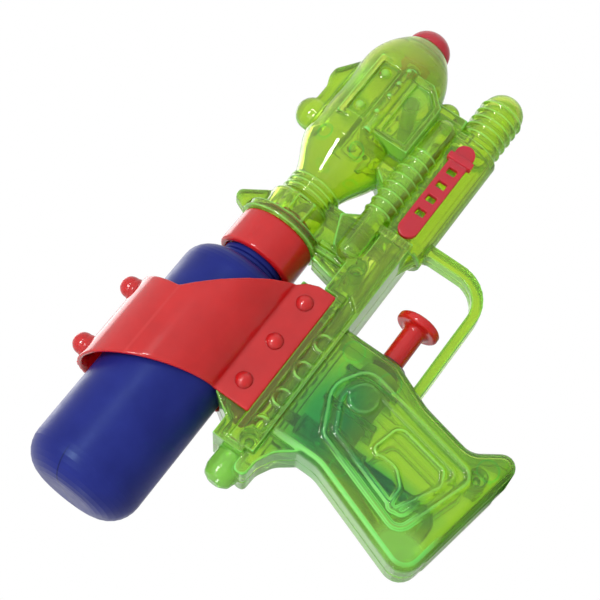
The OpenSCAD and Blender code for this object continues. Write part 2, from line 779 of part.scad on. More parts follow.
module tank_strap() {
    side = [
        [strap_front, ledge_z], [strap_front, ledge_z + 7], [strap_front - 1.6, ledge_z + 11],
        [strap_front - 5, flange_top + 0.2], [strap_crown_front, axis_z + 10],
        [strap_crown_front, strap_top + 1], [strap_crown_rear, strap_top + 1], [strap_rear, flange_top],
        [strap_rear, ledge_z]
    ];
    color(red) {
        difference() {
            intersection() {
                prism(side, far);
                union() {
                    difference() {
                        rod_x(-far, far, strap_r + strap_t, strap_z);
                        rod_x(-far, far, strap_r, strap_z);
                        box(-far, far, -far, far, 0, flange_top - 0.4);
                    }
                    both_sides() box(-far, far, block_w, block_w + strap_t, ledge_z, flange_top);
                }
            }
            for (i = [0 : 2])
                rod_y(-far, far, rivet_r + fit_gap / 2, rivet_x + rivet_pitch * i, rivet_z);
        }
        for (x = [strap_crown_rear + 7.5, strap_crown_front - 3.5]) {
            rod_z(strap_top - strap_t + 0.2, strap_top + 1.5, knob_r + 0.3, x);
            ball(x, strap_top + 2.4, knob_r);
        }
    }
}

module strap_rivets() {
    head_h = 2;
    head_y = block_w + strap_t;
    sphere_r = (rivet_head_r * rivet_head_r + head_h * head_h) / (2 * head_h);
    color(red) both_sides() for (i = [0 : 2]) translate([rivet_x + rivet_pitch * i, 0, rivet_z]) {
        difference() {
            translate([0, head_y + head_h - sphere_r, 0]) sphere(r = sphere_r);
            box(-far, far, -far, head_y, -far, far);
        }
        rod_y(block_w - rivet_len, head_y + 0.2, rivet_r, 0, 0);
    }
}

hold_gap = 0.1;
plug_x = bulkhead_x - 2.4;
plug_r = bulkhead_bore_r + 1;
stem_r = nose_end_r - wall - 0.3;
jet_r = 2.9;
jet_x = tip_x - 4;
jet_hole_r = 0.5;
mouth_r = 1.6;
module nozzle_tip() {
    dome = tip_x - nose_end;
    bore = jet_r + fit_gap;
    color(red) turned(concat(
        [[bore, plug_x], [plug_r, plug_x], [plug_r, bulkhead_x - hold_gap],
            [bulkhead_bore_r - hold_gap, bulkhead_x - hold_gap],
            [bulkhead_bore_r - hold_gap, bulkhead_x + bulkhead_t + hold_gap],
            [stem_r, bulkhead_x + bulkhead_t + hold_gap], [stem_r, nose_end]],
        [for (a = [0 : 10 : 70]) [nose_end_r * cos(a), nose_end + dome * sin(a) / sin(80)]],
        [[mouth_r + 0.8, tip_x], [mouth_r, tip_x], [mouth_r, jet_x], [bore, jet_x]]
    ), axis_z);
}

module nozzle_jet() {
    color(white) turned([
        [channel_r, plug_x - barb_len], [barb_r, plug_x - barb_len], [barb_r, plug_x], [jet_r, plug_x],
        [jet_r, jet_x], [jet_hole_r, jet_x], [jet_hole_r, jet_x - 2], [channel_r, jet_x - 3]
    ], axis_z);
}

clip_z = 77.7;
clip_peg_r = 1.5;
clip_pegs = [33, 68.5];
clip_rear = 28.6;
clip_front = 71.9;
clip_end_r = 3.75;
clip_t = 2.3;
clip_bar_x = 63.6;
clip_bar_w = 2.8;
clip_bar_rise = 1.2;
clip_hole_x = 38.3;
clip_hole_pitch = 6.6;
clip_hole_w = 2.8;
clip_hole_h = 3.5;
module side_clip() {
    y = -fore_r - run_gap;
    face = y - clip_t;
    ends = [clip_rear + clip_end_r, clip_front - clip_end_r];
    bar_h = clip_end_r + clip_bar_rise;
    color(red) {
        difference() {
            union() {
                box(ends[0], ends[1], face, y, clip_z - clip_end_r, clip_z + clip_end_r);
                for (x = ends) rod_y(face, y, clip_end_r, x, clip_z);
                box(clip_bar_x, clip_bar_x + clip_bar_w, face - 1, y, clip_z - bar_h, clip_z + bar_h);
            }
            for (i = [0 : 3]) {
                x = clip_hole_x + clip_hole_pitch * i;
                box(x, x + clip_hole_w, face - 2, y + 1, clip_z - clip_hole_h / 2, clip_z + clip_hole_h / 2);
            }
        }
        for (x = clip_pegs) rod_y(y - 0.5, wall + 0.4 - fore_r, clip_peg_r, x, clip_z);
    }
}

module pump_cylinder() {
    color(white) turned([
        [seat_r, pump_rear - stub_len], [stub_r, pump_rear - stub_len], [stub_r, pump_rear],
        [pump_r, pump_rear], [pump_r, pump_front], [pump_bore_r, pump_front],
        [pump_bore_r, pump_rear + pump_end], [seat_r, pump_rear + pump_end]
    ], trigger_z);
}

module gland_bush() {
    color(black) turned([
        [rod_r + run_gap, gland_rear], [gland_r, gland_rear], [gland_r, grip_front + run_gap],
        [gland_head_r, grip_front + run_gap], [gland_head_r, gland_front - 0.4],
        [gland_head_r - 0.4, gland_front], [rod_r + run_gap, gland_front]
    ], trigger_z);
}

module o_ring(x, inner, outer) {
    minor = (outer - inner) / 2;
    translate([x, 0, trigger_z]) rotate([0, 90, 0]) rotate_extrude()
        translate([inner + minor, 0]) circle(r = minor);
}

module gland_seal() {
    color(black) o_ring(gland_rear - 0.8, rod_r + run_gap, pump_bore_r - run_gap);
}

tail_r = 2;
tail_len = 3;
module trigger() {
    dish = 1.1;
    color(red) turned(concat(
        [[0, piston_front - tail_len], [tail_r, piston_front - tail_len], [tail_r, piston_front],
            [rod_r, piston_front], [rod_r, button_x - 1.2], [rod_r + 1.2, button_x],
            [button_r - 0.8, button_x], [button_r, button_x + 0.8], [button_r, button_x + button_t - 0.8],
            [button_r - 0.8, button_x + button_t]],
        [for (k = [1 : -0.2 : 0]) [(button_r - 1.4) * k, button_x + button_t - dish * (1 - k * k)]]
    ), trigger_z);
}

groove_r = 3.9;
groove_w = 1.8;
module piston() {
    rear = piston_front - piston_len;
    mid = piston_front - piston_len / 2;
    r = pump_bore_r - 0.08;
    color(white) difference() {
        turned([
            [0, rear], [r, rear], [r, mid - groove_w / 2], [groove_r, mid - groove_w / 2],
            [groove_r, mid + groove_w / 2], [r, mid + groove_w / 2], [r, piston_front], [0, piston_front]
        ], trigger_z);
        rod_x(piston_front - tail_len - hold_gap, far, tail_r + run_gap, trigger_z);
    }
}

module piston_seal() {
    color(black) o_ring(piston_front - piston_len / 2, groove_r + run_gap, pump_bore_r - run_gap);
}

// Wire coil between the pump's end and the piston
spring_wire = 0.9;
spring_r = 4.2;
spring_turns = 5;
spring_gap = 0.1;
spring_x0 = pump_rear + pump_end + spring_wire / 2 + spring_gap;
spring_x1 = piston_front - piston_len - spring_wire / 2 - spring_gap;
spring_rings = 8 * spring_turns;
spring_len = spring_x1 - spring_x0;
spring_path = [
    for (k = [0 : spring_rings]) let (part = k / spring_rings, a = 360 * spring_turns * part)
        [spring_x0 + spring_len * part, spring_r * cos(a), trigger_z + spring_r * sin(a)]
];
spring_least_gap = min([
    for (i = [0 : spring_rings - 5]) for (j = [i + 5 : spring_rings])
        norm(spring_path[i] - spring_path[j]) - spring_wire
]);
echo(spring_least_gap = spring_least_gap);

// Directions along a path, and side directions carried along it without twist
function tangents(path) = [
    for (i = [0 : len(path) - 1]) unit(path[min(i + 1, len(path) - 1)] - path[max(i - 1, 0)])
];
first_side = [0.1, 1, 0.3];
function square_to(v, t) = unit(v - (v * t) * t);
function carried(t) = [
    for (i = 0, n = square_to(first_side, t[0]); i < len(t); i = i + 1, n = square_to(n, pick(t, i))) n
];
function rings_along(path, r, sides) =
    let (t = tangents(path), n = carried(t))
    [for (i = [0 : len(path) - 1]) for (j = [0 : sides - 1])
        let (a = 360 * j / sides) path[i] + r * (cos(a) * n[i] + sin(a) * cross(t[i], n[i]))];

module wire(path, r, sides) {
    polyhedron(rings_along(path, r, sides), ring_faces(len(path), sides));
}

module return_spring() {
    color(steel) wire(spring_path, spring_wire / 2, 6);
}

module valve_block() {
    color(clear) {
        difference() {
            rod_z(valve_bottom, valve_top, valve_r, valve_x);
            rod_z(valve_bottom - 1, outlet_seat - seat_t, chamber_r, valve_x);
            rod_z(valve_bottom, valve_top, seat_r, valve_x);
            rod_z(outlet_seat, valve_top + 1, chamber_r, valve_x);
            rod_x(valve_x, valve_x + valve_r + 1, seat_r, trigger_z);
            rod_x(pump_rear - stub_len - hold_gap, pump_rear, stub_r + fit_gap, trigger_z);
        }
        for (z = [inlet_stop, outlet_stop]) rod_y(-chamber_r - 0.4, chamber_r + 0.4, stop_r, valve_x, z);
    }
}

module inlet_fitting() {
    plug = chamber_r - fit_gap;
    flange_z = valve_bottom - fitting_t;
    translate([valve_x, 0, 0]) color(white) rotate_extrude() polygon([
        [channel_r, flange_z - barb_len], [barb_r, flange_z - barb_len], [barb_r, flange_z],
        [valve_r, flange_z], [valve_r, valve_bottom], [plug, valve_bottom], [plug, inlet_seat],
        [seat_r, inlet_seat], [seat_r, inlet_seat - seat_t], [channel_r, inlet_seat - seat_t]
    ]);
}

module outlet_fitting() {
    plug = chamber_r - fit_gap;
    plug_z = valve_top - 0.9;
    flange_z = valve_top + fitting_t;
    barb_z = flange_z + outlet_barb;
    translate([valve_x, 0, 0]) color(white) rotate_extrude() polygon([
        [channel_r, plug_z], [plug, plug_z], [plug, valve_top], [valve_r, valve_top], [valve_r, flange_z],
        [barb_r, flange_z], [barb_r, barb_z], [channel_r, barb_z]
    ]);
}

module inlet_ball() {
    color(steel) ball(valve_x, inlet_seat + seat_rise, ball_r);
}

module outlet_ball() {
    color(steel) ball(valve_x, outlet_seat + seat_rise, ball_r);
}

// Path through hand-set points, with each bend turned into an arc of a given radius
function bent(pts, r, n = 4) = concat(
    [pts[0]],
    [for (i = [1 : len(pts) - 2])
        let (
            v = pts[i],
            u = unit(pts[i - 1] - v),
            w = unit(pts[i + 1] - v),
            half = acos(u * w) / 2,
            c = v + unit(u + w) * r / sin(half),
            a = v + u * r / tan(half) - c,
            b = v + w * r / tan(half) - c,
            sweep = 180 - 2 * half
        )
        for (k = [0 : n]) c + (sin(sweep * (n - k) / n) * a + sin(sweep * k / n) * b) / sin(sweep)],
    [pts[len(pts) - 1]]
);

// Hose with its bore, along a path
module hose(path) {
    sides = 10;
    count = len(path);
    last = (count - 1) * sides;
    inner = count * sides;
    outer_faces = side_faces(count, sides);
    bore_faces = [for (f = outer_faces) [inner + f[0], inner + f[2], inner + f[1]]];
    end_faces = [
        for (j = [0 : sides - 1]) let (k = (j + 1) % sides)
            each [[j, k, inner + j], [inner + j, k, inner + k],
                [last + j, inner + last + j, last + k], [last + k, inner + last + j, inner + last + k]]
    ];
    polyhedron(
        concat(rings_along(path, hose_r, sides), rings_along(path, hose_bore_r, sides)),
        concat(outer_faces, bore_faces, end_faces)
    );
}

dip_points = [
    [seat_x - spigot_flange_t - hose_end_gap, 0, axis_z], [-80, 0, axis_z], [-97, 0, axis_z - 15.5]
];
suction_points = [
    [boss_end + hose_end_gap, 0, axis_z], [suction_x, 0, axis_z], [suction_x, 0, hose_z], [6, hose_y, hose_z],
    [-43, hose_y, hose_z], [-51, 2, hose_z], [-51, 0, 62], [-51, 0, 46], [-59.5, 0, 27], [-56, 0, 14],
    [valve_x, 0, 14], [valve_x, 0, valve_bottom - fitting_t - hose_end_gap]
];
outlet_points = [
    [valve_x, 0, valve_top + fitting_t + hose_end_gap], [valve_x, 0, hose_z], [-34, -hose_y, hose_z],
    [40, -hose_y, hose_z], [outlet_x, 0, hose_z], [outlet_x, 0, axis_z], [plug_x - hose_end_gap, 0, axis_z]
];

module dip_tube() {
    color(white) hose(bent(dip_points, dip_bend));
}

module suction_hose() {
    color(clear) hose(bent(suction_points, hose_bend));
}

module outlet_hose() {
    color(clear) hose(bent(outlet_points, hose_bend));
}

right_shell();
left_shell();
tank_bottle();
tank_collar();
neck_gasket();
tank_spigot();
dip_tube();
tank_strap();
strap_rivets();
nozzle_tip();
nozzle_jet();
side_clip();
pump_cylinder();
gland_bush();
gland_seal();
trigger();
piston();
piston_seal();
return_spring();
valve_block();
inlet_fitting();
outlet_fitting();
inlet_ball();
outlet_ball();
suction_hose();
outlet_hose();
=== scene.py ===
"""Looks of a toy water squirter: materials, soft moulded edges, hoses, spring, light and camera."""
import json
import math

import bpy
from mathutils import Matrix, Vector


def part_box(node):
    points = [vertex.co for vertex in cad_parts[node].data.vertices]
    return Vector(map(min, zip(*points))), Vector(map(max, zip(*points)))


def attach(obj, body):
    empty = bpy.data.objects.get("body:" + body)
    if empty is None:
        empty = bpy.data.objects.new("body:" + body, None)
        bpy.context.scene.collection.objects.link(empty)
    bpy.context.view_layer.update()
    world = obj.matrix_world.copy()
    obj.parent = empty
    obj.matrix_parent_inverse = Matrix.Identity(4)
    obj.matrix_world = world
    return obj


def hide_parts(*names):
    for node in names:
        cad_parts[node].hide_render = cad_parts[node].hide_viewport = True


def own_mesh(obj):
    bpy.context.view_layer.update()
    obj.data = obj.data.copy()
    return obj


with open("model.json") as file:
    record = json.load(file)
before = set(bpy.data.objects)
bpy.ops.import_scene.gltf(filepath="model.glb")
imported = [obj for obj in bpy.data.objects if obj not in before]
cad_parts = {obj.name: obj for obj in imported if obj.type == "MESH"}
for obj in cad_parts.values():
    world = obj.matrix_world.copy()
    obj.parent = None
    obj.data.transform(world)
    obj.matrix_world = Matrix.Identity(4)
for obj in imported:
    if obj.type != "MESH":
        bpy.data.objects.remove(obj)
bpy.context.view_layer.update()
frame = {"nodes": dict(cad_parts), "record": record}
nodes = frame["nodes"]
MM = 0.001

# View of the photograph: where the camera stands round the toy, and how far it is rolled
VIEW_TARGET = Vector((-8.0, 0.0, 94.4)) * MM
VIEW_DISTANCE = 522 * MM
VIEW_AZIMUTH = math.radians(-20)
VIEW_ELEVATION = math.radians(-11)
VIEW_ROLL = math.radians(55.5)
LENS = 90
SENSOR = 36

# Colours in linear light
GREEN = (0.66, 0.83, 0.10)
GREEN_DEEP = (0.61, 0.81, 0.09)
GREEN_REAR = (0.56, 0.79, 0.10)
GREEN_SHADE = (0.04, 0.50, 0.20)
GREEN_HOLLOW_SHADE = (0.36, 0.64, 0.07)
GREEN_THROAT = (0.52, 0.67, 0.14)
# Colour of the painted glow on the green body
GLOW = (0.25, 0.86, 0.16)
RED = (0.60, 0.014, 0.016)
RED_DEEP = (0.52, 0.010, 0.012)
# Painted highlight along the strap's fold
RED_FOLD_HIGHLIGHT = (0.61, 0.028, 0.028)
RED_FRONT = (0.52, 0.014, 0.034)
BLUE = (0.016, 0.022, 0.20)
BLUE_DEEP = (0.012, 0.016, 0.165)
BLUE_SEAM = (0.006, 0.008, 0.080)
MILKY = (0.66, 0.68, 0.62)
MILKY_DEEP = (0.55, 0.58, 0.50)
RUBBER = (0.016, 0.016, 0.017)
RUBBER_DUSTY = (0.040, 0.040, 0.042)
CLEAR = (0.86, 0.92, 0.88)
CLEAR_DEEP = (0.74, 0.84, 0.78)
STEEL = (0.60, 0.61, 0.62)
STEEL_DARK = (0.44, 0.45, 0.46)
FLOOR = (0.80, 0.80, 0.79)
FLOOR_DEEP = (0.76, 0.76, 0.75)
ROOM = (1.0, 0.99, 0.97)


def camera():
    """The photograph's camera; gives the directions to its right, above it and behind it."""
    back = Vector((
        math.sin(VIEW_AZIMUTH) * math.cos(VIEW_ELEVATION),
        -math.cos(VIEW_AZIMUTH) * math.cos(VIEW_ELEVATION),
        math.sin(VIEW_ELEVATION),
    ))
    level = Vector((math.cos(VIEW_AZIMUTH), math.sin(VIEW_AZIMUTH), 0))
    up = back.cross(level)
    right = math.cos(VIEW_ROLL) * level - math.sin(VIEW_ROLL) * up
    above = math.sin(VIEW_ROLL) * level + math.cos(VIEW_ROLL) * up
    data = bpy.data.cameras.new("camera")
    data.lens = LENS
    data.sensor_width = SENSOR
    made = bpy.data.objects.new("camera", data)
    bpy.context.scene.collection.objects.link(made)
    turn = Matrix((right, above, back)).transposed()
    made.matrix_world = Matrix.LocRotScale(VIEW_TARGET + back * VIEW_DISTANCE, turn, None)
    bpy.context.scene.camera = made
    return right, above, back


# Attribute of the pieces with soft edges that says how far each point stands out
EDGE_FIELD = "edge"
# Stretches of the noise's values that are spread out, for soft clouds and for fine unevenness
CLOUD_RANGE = (0.35, 0.65)
FINE_RANGE = (0.3, 0.7)
# Half width in mm of the line of a round mark, and the share of it that has the full colour
RING_WIDTH = 0.3
RING_CORE = 0.4


class Finish:
    """A material and short ways to build its nodes."""

    def __init__(self, name):
        self.material = bpy.data.materials.new(name)
        self.material.use_nodes = True
        self.tree = self.material.node_tree
        self.shader = self.tree.nodes["Principled BSDF"]

    def node(self, kind):
        return self.tree.nodes.new(kind)

    def link(self, source, target):
        self.tree.links.new(source, target)

    def put(self, **values):
        """Constants on the shader's own sockets; an underscore in a name stands for a space."""
        for name, value in values.items():
            self.shader.inputs[name.replace("_", " ")].default_value = value

    def place(self):
        """Point of the surface in the part's own frame."""
        return self.node("ShaderNodeTexCoord").outputs["Object"]

    def noise(self, cells, detail, stretch=(1, 1, 1)):
        """Noise in the part's own frame, with a number of cells per metre."""
        mapping = self.node("ShaderNodeMapping")
        mapping.inputs["Scale"].default_value = stretch
        texture = self.node("ShaderNodeTexNoise")
        texture.inputs["Scale"].default_value = cells
        texture.inputs["Detail"].default_value = detail
        self.link(self.place(), mapping.inputs["Vector"])
        self.link(mapping.outputs["Vector"], texture.inputs["Vector"])
        return texture.outputs["Fac"]

    def ramp(self, value, low, high, out_low=0.0, out_high=1.0):
        """Value from low to high, spread over out_low to out_high."""
        spread = self.node("ShaderNodeMapRange")
        limits = {"From Min": low, "From Max": high, "To Min": out_low, "To Max": out_high}
        for name, number in limits.items():
            spread.inputs[name].default_value = number
        self.link(value, spread.inputs["Value"])
        return spread.outputs["Result"]

    def cloud(self, cells, detail):
        """Soft patches, from 0 to 1."""
        return self.ramp(self.noise(cells, detail), *CLOUD_RANGE)

    def uneven(self, cells, detail, low, high, stretch=(1, 1, 1)):
        """Value that changes from place to place between low and high."""
        return self.ramp(self.noise(cells, detail, stretch), *FINE_RANGE, low, high)

    def edges(self, low, high):
        """0 where edges stand out by less than low, 1 from high on, in mm; below 0 for hollows."""
        field = self.node("ShaderNodeAttribute")
        field.attribute_name = EDGE_FIELD
        return self.ramp(field.outputs["Fac"], low * MM, high * MM)

    def math(self, operation, first, second=0.0):
        """Result of an operation on two values, each given as a number or as a socket."""
        made = self.node("ShaderNodeMath")
        made.operation = operation
        for socket, value in zip(made.inputs, (first, second)):
            if isinstance(value, (int, float)):
                socket.default_value = value
            else:
                self.link(value, socket)
        return made.outputs["Value"]

    def times(self, first, second):
        return self.math("MULTIPLY", first, second)

    def greatest(self, first, *others):
        for other in others:
            first = self.math("MAXIMUM", first, other)
        return first

    def along(self, vector, direction):
        """Length of a vector along a direction."""
        made = self.node("ShaderNodeVectorMath")
        made.operation = "DOT_PRODUCT"
        self.link(vector, made.inputs[0])
        made.inputs[1].default_value = direction
        return made.outputs["Value"]

    def lengthwise(self, start, end):
        """From 0 at start to 1 at end, both in mm along the toy."""
        return self.ramp(self.along(self.place(), (1, 0, 0)), start * MM, end * MM)

    def flank(self):
        """1 on faces that look to the side, 0 on walls that run across the body."""
        normal = self.node("ShaderNodeNewGeometry").outputs["Normal"]
        return self.math("ABSOLUTE", self.along(normal, (0, 1, 0)))

    def away(self, x, z, half_x, half_z):
        """Distance from a point of the side view, in half sizes of an oval about it; lengths in mm."""
        mapping = self.node("ShaderNodeMapping")
        mapping.inputs["Scale"].default_value = (1 / (half_x * MM), 0, 1 / (half_z * MM))
        mapping.inputs["Location"].default_value = (-x / half_x, 0, -z / half_z)
        length = self.node("ShaderNodeVectorMath")
        length.operation = "LENGTH"
        self.link(self.place(), mapping.inputs["Vector"])
        self.link(mapping.outputs["Vector"], length.inputs[0])
        return length.outputs["Value"]

    def near(self, x, z, half_x, half_z, soft=0.5):
        """1 inside an oval of the side view, 0 beyond it."""
        return self.ramp(self.away(x, z, half_x, half_z), 1 + soft, 1 - soft)

    def ring(self, x, z, radius):
        """1 on a thin circle of the side view, 0 elsewhere."""
        off = self.math("ABSOLUTE", self.math("SUBTRACT", self.away(x, z, radius, radius), 1))
        return self.ramp(off, RING_WIDTH / radius, RING_CORE * RING_WIDTH / radius)

    def blend(self, factor, first, second):
        """Colour between two colours, each given as numbers or as a socket."""
        mix = self.node("ShaderNodeMix")
        mix.data_type = "RGBA"
        self.link(factor, mix.inputs["Factor"])
        for socket, colour in ((mix.inputs["A"], first), (mix.inputs["B"], second)):
            if isinstance(colour, tuple):
                socket.default_value = (*colour, 1)
            else:
                self.link(colour, socket)
        return mix.outputs["Result"]

    def colour(self, socket):
        self.link(socket, self.shader.inputs["Base Color"])

    def roughness(self, socket):
        self.link(socket, self.shader.inputs["Roughness"])

    def mark(self, factor, colour):
        """A mark of another colour over the colour that is there."""
        self.colour(self.blend(factor, self.shader.inputs["Base Color"].links[0].from_socket, colour))

    def bump(self, height, depth):
        """Bumps of a depth in mm on the shader's normal, over those that are there."""
        made = self.node("ShaderNodeBump")
        made.inputs["Distance"].default_value = depth * MM
        self.link(height, made.inputs["Height"])
        normal = self.shader.inputs["Normal"]
        if normal.is_linked:
            self.link(normal.links[0].from_socket, made.inputs["Normal"])
        self.link(made.outputs["Normal"], normal)


# How far in mm an edge stands out where its wear and painted highlight start and where they are full
WEAR_AND_HIGHLIGHT_EDGE = (0.16, 0.30)
# Worn edges have a colour that is stronger and lighter, which is partly a painted highlight, and a share of
# the roughness
WEAR_AND_HIGHLIGHT_GAIN = 1.25
WEAR_AND_HIGHLIGHT_LIFT = 0.012
WORN_ROUGHNESS = 0.5
# Least and greatest share of the roughness on a face
ROUGH_LEAST = 0.88
ROUGH_MOST = 1.15


def moulded(name, colour, deep, roughness, waves, grain):
    """Opaque moulded plastic: cloudy colour, worn edges with a painted highlight, slow waves and a fine
    grain, with depths in mm.
    """
    made = Finish(name)
    base = made.blend(made.cloud(cells=70, detail=4), colour, deep)
    # Painted highlight and wear on the edges make their colour lighter and stronger
    lit = tuple(min(1.0, WEAR_AND_HIGHLIGHT_GAIN * c + WEAR_AND_HIGHLIGHT_LIFT) for c in colour)
    edges = made.edges(*WEAR_AND_HIGHLIGHT_EDGE)
    made.colour(made.blend(edges, base, lit))
    uneven = made.uneven(cells=240, detail=3, low=ROUGH_LEAST * roughness, high=ROUGH_MOST * roughness)
    made.roughness(made.times(uneven, made.ramp(edges, 0, 1, 1, WORN_ROUGHNESS)))
    made.bump(made.noise(cells=60, detail=1), waves)
    made.bump(made.noise(cells=2600, detail=2), grain)
    return made


# Line of painted highlight along the fold of the strap in the side view, as x, z and half sizes in mm
STRAP_FOLD_HIGHLIGHT = (-53, 124.6, 24, 0.5)
# Stretch of x in mm where red turns to the crimson of the front pieces
CRIMSON_X = (20, 25)


def red_plastic():
    made = moulded("trim_red", RED, RED_DEEP, roughness=0.14, waves=0.06, grain=0.0008)
    made.put(IOR=1.5, Specular_IOR_Level=0.5)
    made.put(Subsurface_Weight=0.9, Subsurface_Radius=(1.0, 0.10, 0.10), Subsurface_Scale=0.005)
    # Painted highlight along the strap's fold
    made.mark(made.near(*STRAP_FOLD_HIGHLIGHT), RED_FOLD_HIGHLIGHT)
    made.mark(made.lengthwise(*CRIMSON_X), RED_FRONT)
    return made.material


# Seam on the bottle's base: a line through the bottle's axis, whose height is in mm, at a tilt
AXIS_Z = 115
SEAM_TILT = math.radians(12.5)
# Distance in mm from that line where the seam starts to show and where it is dark
SEAM_RIM = 0.35
SEAM_MIDDLE = 0.12
# Stretch of x in mm where the bottle's side rounds into its base
BASE_X = (-99, -104)


def blue_plastic():
    made = moulded("bottle_blue", BLUE, BLUE_DEEP, roughness=0.36, waves=0.1, grain=0.01)
    made.put(IOR=1.5, Specular_IOR_Level=0.25, Specular_Tint=(0.5, 0.75, 1.0, 1.0))
    across = (0, math.sin(SEAM_TILT), math.cos(SEAM_TILT))
    off = made.math("SUBTRACT", made.along(made.place(), across), AXIS_Z * MM * math.cos(SEAM_TILT))
    line = made.ramp(made.math("ABSOLUTE", off), SEAM_RIM * MM, SEAM_MIDDLE * MM)
    made.mark(made.times(line, made.lengthwise(*BASE_X)), BLUE_SEAM)
    return made.material


def milky_plastic():
    made = moulded("fitting_white", MILKY, MILKY_DEEP, roughness=0.4, waves=0.1, grain=0.01)
    made.put(Subsurface_Weight=0.15, Subsurface_Scale=0.001)
    return made.material


def rubber():
    return moulded("seal_black", RUBBER, RUBBER_DUSTY, roughness=0.55, waves=0.1, grain=0.02).material


# What wear adds to the roughness of clear plastic, and the depth of its waves in mm
CLEAR_WEAR = 0.03
CLEAR_WAVES = 0.12


def clear_plastic(made, base, roughness):
    """See-through plastic with slow waves in its surface."""
    made.colour(base)
    made.roughness(made.uneven(cells=500, detail=2, low=roughness, high=roughness + CLEAR_WEAR))
    made.bump(made.noise(cells=45, detail=1), CLEAR_WAVES)
    made.put(IOR=1.45)
    return made.material


# Stretch of x in mm where the green of the front turns to that of the rear
REAR_X = (20, -20)
# How far in mm points stand out, or lie back, where edges get painted glow and where hollows get painted
# shade
GLOW_EDGE = (0.03, 0.18)
HOLLOW_SHADE_EDGE = (-0.02, -0.12)
# Thin round marks on the body in the colour of the painted glow, as x, z and radius in mm
RING_MARKS = [
    (-16.2, 66.5, 3.7), (-18.3, 50.2, 3.7), (-52, 47.5, 3.0), (-23.9, 7.5, 3.7), (45, 122.5, 2.5),
    (45, 109, 2.5),
]
# Ovals of the side view, as x, z and half sizes in mm, where the upper grip is darker
SHADE_PLACES = [(-39, 61, 20, 12), (-48, 36, 5, 20)]
SHADE_SHARE = 0.9
# Ovals painted a deeper green, with a share and a colour: the throat of the nose, and the web under it with
# the painted shade of the hollows
DEEP_PLACES = [(36, 117, 16, 10, 0.5, GREEN_THROAT), (13, 98, 6, 7, 0.6, GREEN_HOLLOW_SHADE)]
# Ovals of painted glow, with a share: the rear knob, the rail, the heel of the grip and two on the nose
GLOW_PLACES = [
    (-74, 80, 9, 8, 0.55), (46, 90, 18, 5, 0.35), (-62, 16, 6, 10, 0.5), (71, 127, 7, 5, 0.3),
    (75, 104, 7, 5, 0.3),
]
GLOW_SOFT = 0.3
# Oval at the back of the grip with painted glow, once its side starts to round, until it has turned away
BACK_PLACE = (-60, 38, 12, 36)
BACK_SOFT = 0.2
BACK_START = (0.99, 0.96)
BACK_END = (0.60, 0.80)
# Walls that run across the body get painted glow as they turn from the side
WALL_TURN = (0.4, 0.05)
WALL_SHARE = 0.6
# Oval at the front of the nose, which is hazy
HAZE_PLACE = (93, 115, 11, 18)
HAZE_SHARE = 0.4
# Share of the light that passes where the wall is clear and where it has painted glow
CLEAR_PASS = 0.91
GLOW_PASS = 0.3


def green_plastic():
    """Clear green with painted glow along its edges, on walls seen end on and down the back of the grip, and
    painted shade in its hollows.
    """
    made = Finish("body_green")
    base = made.blend(made.cloud(cells=55, detail=3), GREEN, GREEN_DEEP)
    base = made.blend(made.lengthwise(*REAR_X), base, GREEN_REAR)
    shade = made.greatest(*[made.near(*oval) for oval in SHADE_PLACES])
    base = made.blend(made.times(shade, SHADE_SHARE), base, GREEN_SHADE)
    # Painted shade in the hollows of the surface
    base = made.blend(made.edges(*HOLLOW_SHADE_EDGE), base, GREEN_HOLLOW_SHADE)
    for *oval, share, colour in DEEP_PLACES:
        base = made.blend(made.times(made.near(*oval), share), base, colour)
    # Thin rings in the colour of the painted glow
    for mark in RING_MARKS:
        base = made.blend(made.ring(*mark), base, GLOW)
    flank = made.flank()
    rounding = made.times(made.ramp(flank, *BACK_START), made.ramp(flank, *BACK_END))
    glows = [
        made.edges(*GLOW_EDGE),
        made.times(rounding, made.near(*BACK_PLACE, BACK_SOFT)),
        made.ramp(flank, *WALL_TURN, 0, WALL_SHARE),
    ]
    for *oval, share in GLOW_PLACES:
        glows.append(made.times(made.near(*oval, GLOW_SOFT), share))
    glow = made.greatest(*glows)
    # Painted glow on edges, turning walls, the back of the grip and bright ovals
    base = made.blend(glow, base, GLOW)
    haze = made.greatest(glow, made.times(made.near(*HAZE_PLACE), HAZE_SHARE))
    made.link(made.ramp(haze, 0, 1, CLEAR_PASS, GLOW_PASS), made.shader.inputs["Transmission Weight"])
    return clear_plastic(made, base, roughness=0.01)


def hose_plastic():
    made = Finish("clear_plastic")
    made.put(Transmission_Weight=0.85)
    base = made.blend(made.cloud(cells=55, detail=3), CLEAR, CLEAR_DEEP)
    return clear_plastic(made, base, roughness=0.12)


# Roughness of the steel on its bright and on its dark streaks, and the scale that draws them out along X
STEEL_ROUGHNESS = (0.18, 0.34)
STREAK_STRETCH = (0.15, 1, 1)


def bright_steel():
    made = Finish("steel")
    streaks = made.uneven(cells=1500, detail=2, low=0, high=1, stretch=STREAK_STRETCH)
    made.colour(made.blend(streaks, STEEL, STEEL_DARK))
    made.roughness(made.ramp(streaks, 0, 1, *STEEL_ROUGHNESS))
    made.put(Metallic=1.0)
    return made.material


FINISHES = {
    "body_green": green_plastic(),
    "trim_red": red_plastic(),
    "bottle_blue": blue_plastic(),
    "fitting_white": milky_plastic(),
    "seal_black": rubber(),
    "clear_plastic": hose_plastic(),
    "steel": bright_steel(),
}

# Size in mm of the cells in which each moulded piece is rebuilt with soft edges, and passes that smooth them
SOFT_EDGES = {
    "right_shell": (0.4, 5), "left_shell": (0.4, 5), "tank_collar": (0.35, 6), "tank_strap": (0.28, 24),
    "strap_rivets": (0.2, 10), "nozzle_tip": (0.3, 8), "side_clip": (0.25, 6), "trigger": (0.3, 6),
    "gland_bush": (0.3, 6),
}
# Points of the solid that lie closer than this, in mm, are made one before that
WELD_GAP = 0.01
# Share of the way to its neighbours that a point goes in each pass
SMOOTH_SHARE = 0.5


